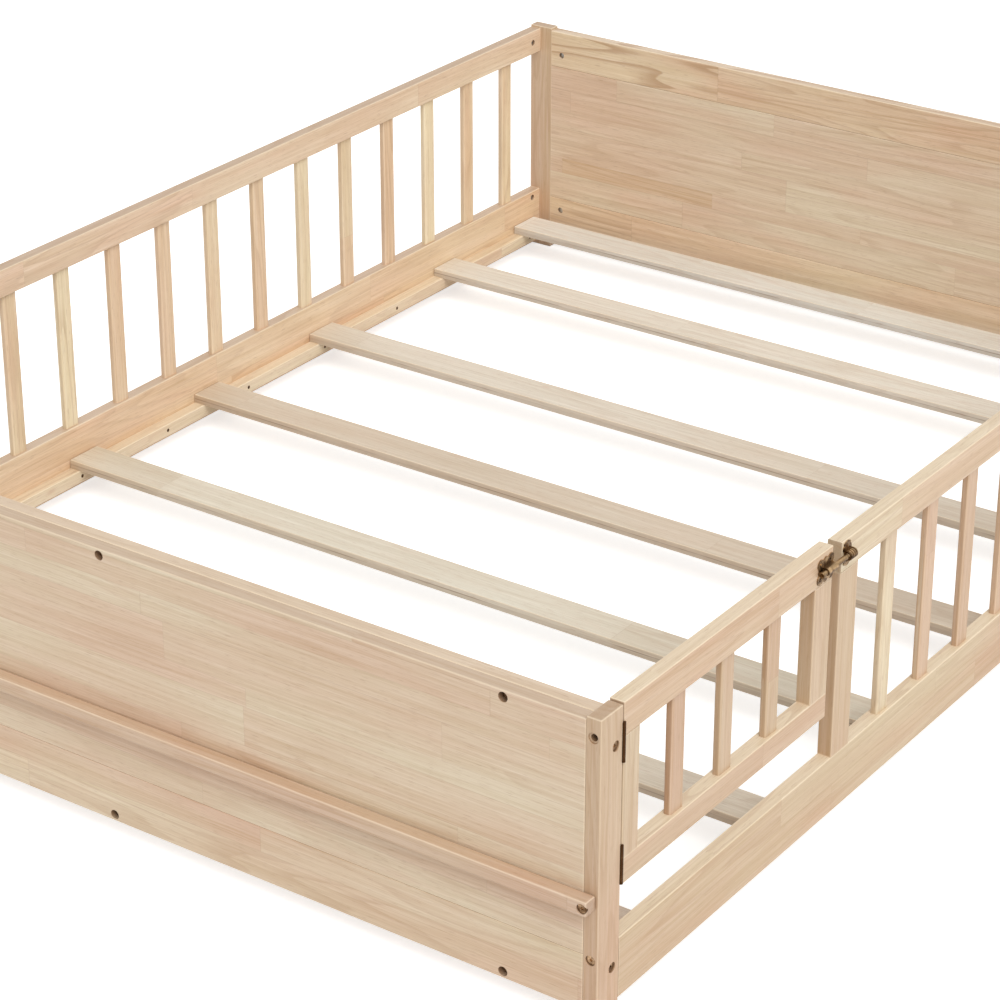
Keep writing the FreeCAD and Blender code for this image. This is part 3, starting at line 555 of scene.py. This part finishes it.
def add_plies(tree, colour, place, height, faces):
    """Glue line and darker lower ply on a slat's edges; height is measured from its middle."""
    glue = spread(tree, maths(tree, "ABSOLUTE", height), *GLUE_LINE)
    unbroken = spread(tree, noise(tree, place, GLUE_SCALE, GLUE_DETAIL), *GLUE_GAPS)
    on_edge = maths(tree, "SUBTRACT", 1.0, faces["Up"])
    lower = maths(tree, "MULTIPLY", spread(tree, height, *LOWER_RANGE), on_edge)
    colour = mix_colour(tree, lower, colour, LOWER_PLY)
    return stain(tree, colour, maths(tree, "MULTIPLY", glue, unbroken), GLUE_SHARE, GLUE_BROWN)


def add_crevice_shade(tree, colour, parts, shade_seam):
    """Painted shade line where a piece lies on another. The last argument gives a direction, where the shade
    starts along it and where it is full.
    """
    axis, start, full = shade_seam
    return stain(tree, colour, spread(tree, parts[AXES[axis]], start, full), CREVICE_SHADE_SHARE, CREVICE_SHADE_BROWN)


print("glue line of", 2 * GLUE_LINE[0], "m")

# %% [markdown]
# ## A wood finish for one piece
#
# Each piece gets a material of its own, made from the same groups. It says which way the grain runs and where
# the piece begins, so that rows of staves fit between its edges, as a joiner would cut them. The colours are
# pale, with a thin satin lacquer: a plain Principled shader with a middling roughness.

# %% Faces and lacquer
END_SHARE = 0.45
# Share of the pale edge line, partly wear and partly painted highlight
EDGE_WEAR_AND_HIGHLIGHT_SHARE = 0.50
# Share of the painted shade inside holes
HOLE_SHADE_SHARE = 0.66
SATIN = (0.25, 0.75, 0.38, 0.54)    # the fine grain makes the lacquer a little more or less rough
LACQUER_SHINE = 0.5
RELIEF_STRENGTH = 0.3
RELIEF_DEPTH = 0.0004               # metres
JOINT_RELIEF = 0.6


def add_lacquer(tree, colour, staves, grain, faces):
    """Browner ends, the pale edge line of wear and painted highlight, painted shade in holes, then the
    shader's colour, sheen and relief.
    """
    colour = stain(tree, colour, faces["End"], END_SHARE, END_BROWN)
    # Pale edge line: partly wear, partly painted highlight
    colour = stain(tree, colour, faces["Edge Wear And Highlight"], EDGE_WEAR_AND_HIGHLIGHT_SHARE, EDGE_WEAR_AND_HIGHLIGHT_CREAM)
    # Painted shade inside holes
    colour = stain(tree, colour, faces["Inside"], HOLE_SHADE_SHARE, HOLE_SHADE_BROWN)
    shader = tree.nodes["Principled BSDF"]
    feed(tree, shader.inputs["Base Color"], colour)
    feed(tree, shader.inputs["Roughness"], spread(tree, grain["Fine"], *SATIN))
    shader.inputs["Specular IOR Level"].default_value = LACQUER_SHINE
    bump = tree.nodes.new("ShaderNodeBump")
    bump.inputs["Strength"].default_value = RELIEF_STRENGTH
    bump.inputs["Distance"].default_value = RELIEF_DEPTH
    feed(tree, bump.inputs["Height"],
         maths(tree, "SUBTRACT", grain["Height"], maths(tree, "MULTIPLY", staves["Joint"], JOINT_RELIEF)))
    feed(tree, shader.inputs["Normal"], bump.outputs["Normal"])


print("lacquer roughness", SATIN[2], "to", SATIN[3])

# %% Wood finish
AXES = {"x": 0, "y": 1, "z": 2}
AXIS_VECTORS = {"x": (1.0, 0.0, 0.0), "y": (0.0, 1.0, 0.0), "z": (0.0, 0.0, 1.0)}
EVEN = (1.0, 1.0, 1.0)
UNEVEN_ROWS = 0.22
PLAIN_ROUND = 0.0015       # metres of rounding on most edges
PLAIN_CONTRAST = 0.36      # how far the tones of neighbouring staves lie apart


def wood_finish(name, along, across, low, high, rows, stave_length, seed, flames, tones=WARM_TONES, top=None,
                tint=EVEN, pitch=0.0, ply=False, shade_seam=None, stave_contrast=PLAIN_CONTRAST,
                edge_round=PLAIN_ROUND):
    """Material for the box low to high, with its grain along one axis and rows of staves across another."""
    through = ({"x", "y", "z"} - {along, across}).pop()
    is_panel = rows > PANEL_ROWS
    material = bpy.data.materials.new(name)
    material.use_nodes = True
    tree = material.node_tree
    coordinates = tree.nodes.new("ShaderNodeTexCoord")
    parts = split(tree, coordinates.outputs["Object"])
    across_place = maths(tree, "SUBTRACT", parts[AXES[across]], low[AXES[across]])
    row_width = (high[AXES[across]] - low[AXES[across]]) / rows
    staves = place_group(tree, stave_group, Along=parts[AXES[along]], Across=across_place,
                         Through=parts[AXES[through]], Row_Width=row_width,
                         Uneven=UNEVEN_ROWS if is_panel else 0.0, Stave_Length=stave_length, Seed=float(seed))
    own_place = list(parts)
    if pitch:    # a row of equal pieces: fold them all onto the first
        fold = maths(tree, "FRACT", maths(tree, "DIVIDE", across_place, pitch))
        fold = maths(tree, "MULTIPLY", fold, pitch)
        own_place[AXES[across]] = maths(tree, "ADD", fold, low[AXES[across]])
    faces = place_group(tree, face_group, Place=vector(tree, *own_place),
                        Normal=coordinates.outputs["Normal"], Low=tuple(low), High=tuple(high),
                        Grain_Axis=AXIS_VECTORS[along], Round=edge_round)
    grain = place_group(tree, grain_group, Place=staves["Place"])
    colour = board_colour(tree, parts, staves, AXES[along], seed, tones, stave_contrast,
                          PLY_PINK_SHARE if ply else PINK_SHARE, is_panel)
    colour = mix_colour(tree, 1.0, colour, (*tint, 1.0), "MULTIPLY")
    if top is not None:
        colour = stain(tree, colour, faces["Up"], TOP_SHARE, top)
    colour = add_grain(tree, colour, staves, grain, flames)
    if ply:
        height = maths(tree, "SUBTRACT", parts[AXES["z"]], (low[AXES["z"]] + high[AXES["z"]]) / 2)
        colour = add_plies(tree, colour, coordinates.outputs["Object"], height, faces)
    # Painted shade in the crevice where a piece lies on another
    if shade_seam is not None:
        colour = add_crevice_shade(tree, colour, parts, shade_seam)
    add_lacquer(tree, colour, staves, grain, faces)
    return material


def dress(node_name, material):
    """Give a CAD node a material, in every slot that it has."""
    node = nodes[node_name]
    if not node.data.materials:
        node.data.materials.append(material)
    for index in range(len(node.data.materials)):
        node.data.materials[index] = material


print("wood finish ready")

# %% [markdown]
# ## Which way each wooden piece runs
#
# A joiner runs the grain along the length of every part: along the bed in the side rails, across it in the
# ends, the ledge and the slats, and upright in posts, stiles and spindles. The table below says that for each
# piece, with the number of stave rows between its edges, the length of its staves, how strongly the rings
# show, the colour of its top edge and its tint.

# %% Plan of the wooden pieces
POST_TINT = (0.89, 0.82, 0.76)
GATE_TINT = (0.93, 0.90, 0.84)
STILE_TINT = (0.92, 0.88, 0.82)
SPINDLE_TINT = (0.88, 0.80, 0.74)
HEAD_TINT = (1.05, 1.06, 1.07)
WOOD_PLAN = {
    # piece: (along, across, rows, stave length, flames, top colour, tint)
    "foot_front_post": ("z", "x", 1, 0.9, 0.25, None, POST_TINT),
    "foot_back_post": ("z", "x", 1, 0.9, 0.25, None, POST_TINT),
    "head_front_post": ("z", "y", 1, 0.9, 0.25, None, POST_TINT),
    "head_back_post": ("z", "y", 1, 0.9, 0.25, None, POST_TINT),
    "headboard_bottom_rail": ("y", "z", 1, 0.55, 0.35, None, (1.12, 1.12, 1.08)),
    "headboard_panel": ("y", "z", 6, 0.40, 0.20, None, HEAD_TINT),
    "headboard_top_rail": ("y", "z", 1, 0.62, 0.65, TAN_TOP, (1.05, 0.99, 0.93)),
    "footboard_inner_bottom_rail": ("y", "z", 1, 0.55, 0.25, None, EVEN),
    "footboard_inner_panel": ("y", "z", 6, 0.45, 0.20, None, EVEN),
    "footboard_inner_top_rail": ("y", "z", 1, 0.60, 0.25, TAN_TOP, EVEN),
    "footboard_outer_board": ("y", "z", 2, 0.60, 0.30, None, (0.98, 0.95, 0.93)),
    "footboard_outer_panel": ("y", "z", 8, 0.55, 0.20, BROWN_TOP, EVEN),
    "footboard_ledge": ("y", "z", 1, 0.75, 0.20, None, (0.89, 0.84, 0.83)),
    "back_top_rail": ("x", "z", 1, 0.48, 0.30, BROWN_TOP, (1.13, 1.11, 1.12)),
    "back_bottom_board": ("x", "z", 2, 0.52, 0.30, DUSTY_TOP, (1.11, 1.04, 0.97)),
    "front_side_board": ("x", "z", 2, 0.52, 0.30, CREAM_TOP, (0.89, 0.845, 0.76)),
    "front_top_rail": ("x", "z", 1, 0.50, 0.30, CREAM_TOP, (1.01, 1.00, 0.95)),
    "gate_post": ("z", "x", 1, 0.9, 0.25, None, (0.87, 0.80, 0.72)),
    "gate_top_rail": ("x", "z", 1, 0.60, 0.30, CREAM_TOP, (0.94, 0.83, 0.77)),
    "gate_bottom_rail": ("x", "z", 1, 0.60, 0.30, CREAM_TOP, GATE_TINT),
    "gate_hinge_stile": ("z", "x", 1, 0.9, 0.25, None, STILE_TINT),
    "gate_latch_stile": ("z", "x", 1, 0.9, 0.25, None, STILE_TINT),
    "gate_spindle_1": ("z", "x", 1, 0.9, 0.25, None, SPINDLE_TINT),
    "gate_spindle_2": ("z", "x", 1, 0.9, 0.25, None, SPINDLE_TINT),
    "gate_spindle_3": ("z", "x", 1, 0.9, 0.25, None, SPINDLE_TINT),
    "front_slat_cleat": ("x", "z", 1, 0.60, 0.30, CREAM_TOP, EVEN),
    "back_slat_cleat": ("x", "z", 1, 0.60, 0.30, CREAM_TOP, (1.04, 1.02, 0.98)),
}
print("plan for", len(WOOD_PLAN), "wooden pieces")

# %% Dress the wooden pieces
SOFT_ROUND = 0.0030        # metres of rounding on the ledge and the spindles
ROUND_EDGES = {"footboard_ledge": SOFT_ROUND, "gate_spindle_1": SOFT_ROUND, "gate_spindle_2": SOFT_ROUND,
               "gate_spindle_3": SOFT_ROUND}
LEDGE_GROOVE_SHADE = 0.0030      # metres of the ledge that get a painted shade where it meets the footboard
ledge_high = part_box("footboard_ledge")[1]
# Where the ledge gets its painted crevice shade
SHADED_SEAMS = {"footboard_ledge": ("x", ledge_high.x - LEDGE_GROOVE_SHADE, ledge_high.x - LEDGE_GROOVE_SHADE / 3)}
FIRST_SEED, SEED_STEP = 11, 7
for number, (piece, plan) in enumerate(WOOD_PLAN.items()):
    along, across, rows, stave_length, flames, top, tint = plan
    low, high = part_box(piece)
    dress(piece, wood_finish(piece + "_wood", along, across, low, high, rows, stave_length,
                             FIRST_SEED + SEED_STEP * number, flames, top=top, tint=tint,
                             shade_seam=SHADED_SEAMS.get(piece), edge_round=ROUND_EDGES.get(piece, PLAIN_ROUND)))
print("dressed", len(WOOD_PLAN), "wooden pieces")

# %% [markdown]
# ## Spindles, slats and dowels
#
# All spindles of a side are one CAD node. The finish folds them onto the first one, to find their edges, and
# the staves' rows are as wide as the pitch, so that each spindle gets a tone of its own. The slats are seven
# nodes, each cut from another board. Of the dowels, only an edge ever shows.

# %% Dress the spindle rows
SPINDLE_WIDTH = 0.028
UPRIGHT_STAVE = 0.9
UPRIGHT_FLAMES = 0.25
SPINDLE_CONTRAST = 0.6
SPINDLE_ROWS = (    # piece, count, seed, tint
    ("back_spindles", 16, 301, (1.14, 1.14, 1.08)),
    ("front_spindles", 12, 409, (0.98, 0.95, 0.91)),
)
for piece, count, seed, tint in SPINDLE_ROWS:
    low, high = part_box(piece)
    pitch = (high.x - low.x - SPINDLE_WIDTH) / (count - 1)
    first_high = Vector((low.x + SPINDLE_WIDTH, high.y, high.z))
    dress(piece, wood_finish(piece + "_wood", "z", "x", low, first_high, SPINDLE_WIDTH / pitch, UPRIGHT_STAVE,
                             seed, UPRIGHT_FLAMES, tint=tint, pitch=pitch, stave_contrast=SPINDLE_CONTRAST,
                             edge_round=SOFT_ROUND))
    print(piece, "pitch", round(pitch, 4))

# %% Dress the slats
SLAT_STAVE = 0.62
SLAT_FLAMES = 0.12
SLAT_FIRST_SEED, SLAT_SEED_STEP = 500, 13
SLAT_TINTS = [(0.94, 0.89, 0.86), (1.03, 1.05, 1.04), (0.95, 0.97, 0.94), (0.85, 0.80, 0.74),
              (0.97, 0.98, 0.98), (1.00, 1.03, 1.05), (1.01, 1.11, 1.22)]
for number, tint in enumerate(SLAT_TINTS, 1):
    piece = "slat_%d" % number
    low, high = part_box(piece)
    dress(piece, wood_finish(piece + "_wood", "y", "x", low, high, 1, SLAT_STAVE,
                             SLAT_FIRST_SEED + SLAT_SEED_STEP * number, SLAT_FLAMES, tones=SLAT_TONES,
                             tint=tint, ply=True))
print("dressed", len(SLAT_TINTS), "slats")

# %% Dress the dowels
DOWEL_FIRST_SEED = 71
DOWEL_FLAMES = 0.2
DOWEL_GRAIN = {"upright_dowels": "z", "gate_dowels": "z", "rail_dowels": "x"}
for number, (piece, along) in enumerate(DOWEL_GRAIN.items()):
    low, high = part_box(piece)
    dress(piece, wood_finish(piece + "_wood", along, "y", low, high, 1, UPRIGHT_STAVE,
                             DOWEL_FIRST_SEED + number, DOWEL_FLAMES))
print("dressed", len(DOWEL_GRAIN), "groups of dowels")

# %% [markdown]
# ## Metal
#
# The hinges, latch and bolts are steel with an antique bronze plating: dark brown in the hollows, rubbed to a
# warm brass where hands and screwdrivers touch it. A little noise mixes the two and roughens the dark areas.
# Faces that look up are also painted brighter and faces that look down darker, as painted light and shade.
# The nuts are plain zinc.

# %% Plating group
BLOTCH_SCALE, GRIT_SCALE = 130.0, 1100.0    # repeats in a metre
PLATING_DETAIL = 3.0
GRIT_ROUGHNESS = 0.6
GRIT_SHARE, BLOTCH_SHARE = 0.35, 0.65
RUB_START, RUB_FULL = 0.80, 1.20            # noise plus amount at which rubbing starts and is full
PAINTED_TOP_LIGHT = (-0.7, 0.8, -0.45, 0.45)           # painted light: upward faces are painted brighter, downward ones darker
GRIT_ON_SHEEN = 0.4
PLATING_SHEEN = (0.1, 1.3, 0.46, 0.26)      # from dark and rough to rubbed and smooth

metal_group, into, out = new_group(
    "rubbed_and_lit_plating",
    [("Place", "v", (0.0, 0.0, 0.0)), ("Normal", "v", (0.0, 0.0, 1.0)), ("Dark", "c", srgb(96, 72, 44)),
     ("Bright", "c", srgb(196, 164, 112)), ("Amount", "f", 0.5)],
    [("Color", "c"), ("Roughness", "f"), ("Height", "f")])
tree = metal_group
blotches = noise(tree, into["Place"], BLOTCH_SCALE, PLATING_DETAIL)
grit = noise(tree, into["Place"], GRIT_SCALE, PLATING_DETAIL, GRIT_ROUGHNESS)
mottle = maths(tree, "MULTIPLY_ADD", grit, GRIT_SHARE, maths(tree, "MULTIPLY", blotches, BLOTCH_SHARE))
rubbed_and_lit = spread(tree, mottle, maths(tree, "SUBTRACT", RUB_START, into["Amount"]),
                maths(tree, "SUBTRACT", RUB_FULL, into["Amount"]))
# Painted light and shade: faces that look up are made brighter and faces that look down darker, added onto
# the rubbing
painted_top_light = spread(tree, split(tree, into["Normal"])[2], *PAINTED_TOP_LIGHT, smooth=False)
rubbed_and_lit = maths(tree, "ADD", rubbed_and_lit, painted_top_light, clamp=True)
smoothed = maths(tree, "MULTIPLY_ADD", grit, GRIT_ON_SHEEN, rubbed_and_lit)
feed(tree, out["Color"], mix_colour(tree, rubbed_and_lit, into["Dark"], into["Bright"]))
feed(tree, out["Roughness"], spread(tree, smoothed, *PLATING_SHEEN))
feed(tree, out["Height"], mottle)
print("plating group:", len(tree.nodes), "nodes")

# %% Metal finishes
METAL_RELIEF = 0.15
METAL_RELIEF_DEPTH = 0.0001    # metres


def metal_finish(name, dark, bright, amount):
    """Plated metal, from dark in the hollows to bright where it is rubbed, with painted light on faces that
    look up and painted shade on those that look down.
    """
    material = bpy.data.materials.new(name)
    material.use_nodes = True
    tree = material.node_tree
    shader = tree.nodes["Principled BSDF"]
    shader.inputs["Metallic"].default_value = 1.0
    coordinates = tree.nodes.new("ShaderNodeTexCoord")
    plating = place_group(tree, metal_group, Place=coordinates.outputs["Object"],
                          Normal=coordinates.outputs["Normal"], Dark=dark, Bright=bright, Amount=amount)
    feed(tree, shader.inputs["Base Color"], plating["Color"])
    feed(tree, shader.inputs["Roughness"], plating["Roughness"])
    bump = tree.nodes.new("ShaderNodeBump")
    bump.inputs["Strength"].default_value = METAL_RELIEF
    bump.inputs["Distance"].default_value = METAL_RELIEF_DEPTH
    feed(tree, bump.inputs["Height"], plating["Height"])
    feed(tree, shader.inputs["Normal"], bump.outputs["Normal"])
    return material


METAL_PLAN = (    # name, dark, bright, amount rubbed, pieces
    ("antique_bronze", srgb(76, 52, 28), srgb(206, 172, 128), 0.42,
     ("latch_plate", "latch_bolt", "latch_keeper", "latch_plate_screws", "keeper_screws")),
    ("bolt_bronze", srgb(90, 64, 40), srgb(202, 170, 136), 0.45,
     ("ledge_bolts", "long_connector_bolts", "short_connector_bolts", "footboard_screws")),
    ("dark_bronze", srgb(70, 46, 26), srgb(112, 80, 52), 0.35,
     ("lower_hinge_post_leaf", "lower_hinge_gate_leaf", "lower_hinge_pin", "upper_hinge_post_leaf",
      "upper_hinge_gate_leaf", "upper_hinge_pin", "hinge_post_screws", "hinge_gate_screws", "cleat_screws")),
    ("zinc_plate", srgb(150, 150, 148), srgb(205, 206, 204), 0.5, ("barrel_nuts",)),
)
for name, dark, bright, amount, pieces in METAL_PLAN:
    metal = metal_finish(name, dark, bright, amount)
    for piece in pieces:
        dress(piece, metal)
    print(name, "on", len(pieces), "pieces")

# %% [markdown]
# ## Floor, background and light
#
# The bed stands on white. The floor keeps the bed's soft shadow, but the camera, and anything that mirrors or
# looks through glass, sees a little extra white on it, so that its lit parts fade into the background. The
# light is plain: an even white sky and one large soft lamp.

# %% Floor shape
FLOOR_HALF = 30.0       # metres
FLOOR_DROP = 0.0005     # metres below the feet, so that the two don't share a plane
floor_shape = bmesh.new()
bmesh.ops.create_grid(floor_shape, x_segments=1, y_segments=1, size=FLOOR_HALF)
bmesh.ops.translate(floor_shape, verts=floor_shape.verts, vec=(0.0, 0.0, -FLOOR_DROP))
floor_mesh = bpy.data.meshes.new("studio_floor")
floor_shape.to_mesh(floor_mesh)
floor_shape.free()
floor = bpy.data.objects.new("studio_floor", floor_mesh)
bpy.context.scene.collection.objects.link(floor)
print("floor of", 2 * FLOOR_HALF, "m")

# %% Floor finish
WHITE = (1.0, 1.0, 1.0, 1.0)
FLOOR_GREY = (0.80, 0.80, 0.80, 1.0)
FLOOR_ROUGHNESS = 0.9
FLOOR_GLOW = 0.58


def seen_part(tree):
    """Mask of what the camera, a mirror or a glass sees, but no lit surface."""
    light_path = tree.nodes.new("ShaderNodeLightPath")
    mirrored = maths(tree, "MAXIMUM", light_path.outputs["Is Glossy Ray"],
                     light_path.outputs["Is Transmission Ray"])
    return maths(tree, "MAXIMUM", light_path.outputs["Is Camera Ray"], mirrored)


floor_material = bpy.data.materials.new("white_floor")
floor_material.use_nodes = True
tree = floor_material.node_tree
shader = tree.nodes["Principled BSDF"]
shader.inputs["Base Color"].default_value = FLOOR_GREY
shader.inputs["Roughness"].default_value = FLOOR_ROUGHNESS
shader.inputs["Specular IOR Level"].default_value = 0.0
glow = tree.nodes.new("ShaderNodeEmission")
glow.inputs["Color"].default_value = WHITE
feed(tree, glow.inputs["Strength"], maths(tree, "MULTIPLY", seen_part(tree), FLOOR_GLOW))
both = tree.nodes.new("ShaderNodeAddShader")
feed(tree, both.inputs[0], shader.outputs["BSDF"])
feed(tree, both.inputs[1], glow.outputs["Emission"])
feed(tree, tree.nodes["Material Output"].inputs["Surface"], both.outputs["Shader"])
floor.data.materials.append(floor_material)
print("floor glows", FLOOR_GLOW, "to the camera")

# %% World
WORLD_LEVEL = 0.60      # light that the sky gives; the camera sees it as full white
world = bpy.data.worlds.new("white_studio")
bpy.context.scene.world = world
world.use_nodes = True
tree = world.node_tree
background = tree.nodes["Background"]
background.inputs["Color"].default_value = WHITE
feed(tree, background.inputs["Strength"],
     maths(tree, "MULTIPLY_ADD", seen_part(tree), 1.0 - WORLD_LEVEL, WORLD_LEVEL))
bpy.context.scene.view_settings.view_transform = "Standard"
print("sky at", WORLD_LEVEL)

# %% Lamp
KEY_FROM = Vector((-0.22, -0.32, 0.45))   # the way that the light comes from
KEY_DISTANCE = 8.0
KEY_STRENGTH = 1.8
KEY_ANGLE = 38.0                          # degrees that the lamp covers in the sky, which softens its shadows
key_data = bpy.data.lights.new("key_lamp", "SUN")
key_data.energy = KEY_STRENGTH
key_data.angle = math.radians(KEY_ANGLE)
key_lamp = bpy.data.objects.new("key_lamp", key_data)
bpy.context.scene.collection.objects.link(key_lamp)
key_lamp.location = KEY_FROM * KEY_DISTANCE
key_lamp.rotation_euler = (-KEY_FROM).to_track_quat("-Z", "Y").to_euler()
print("lamp of strength", KEY_STRENGTH)
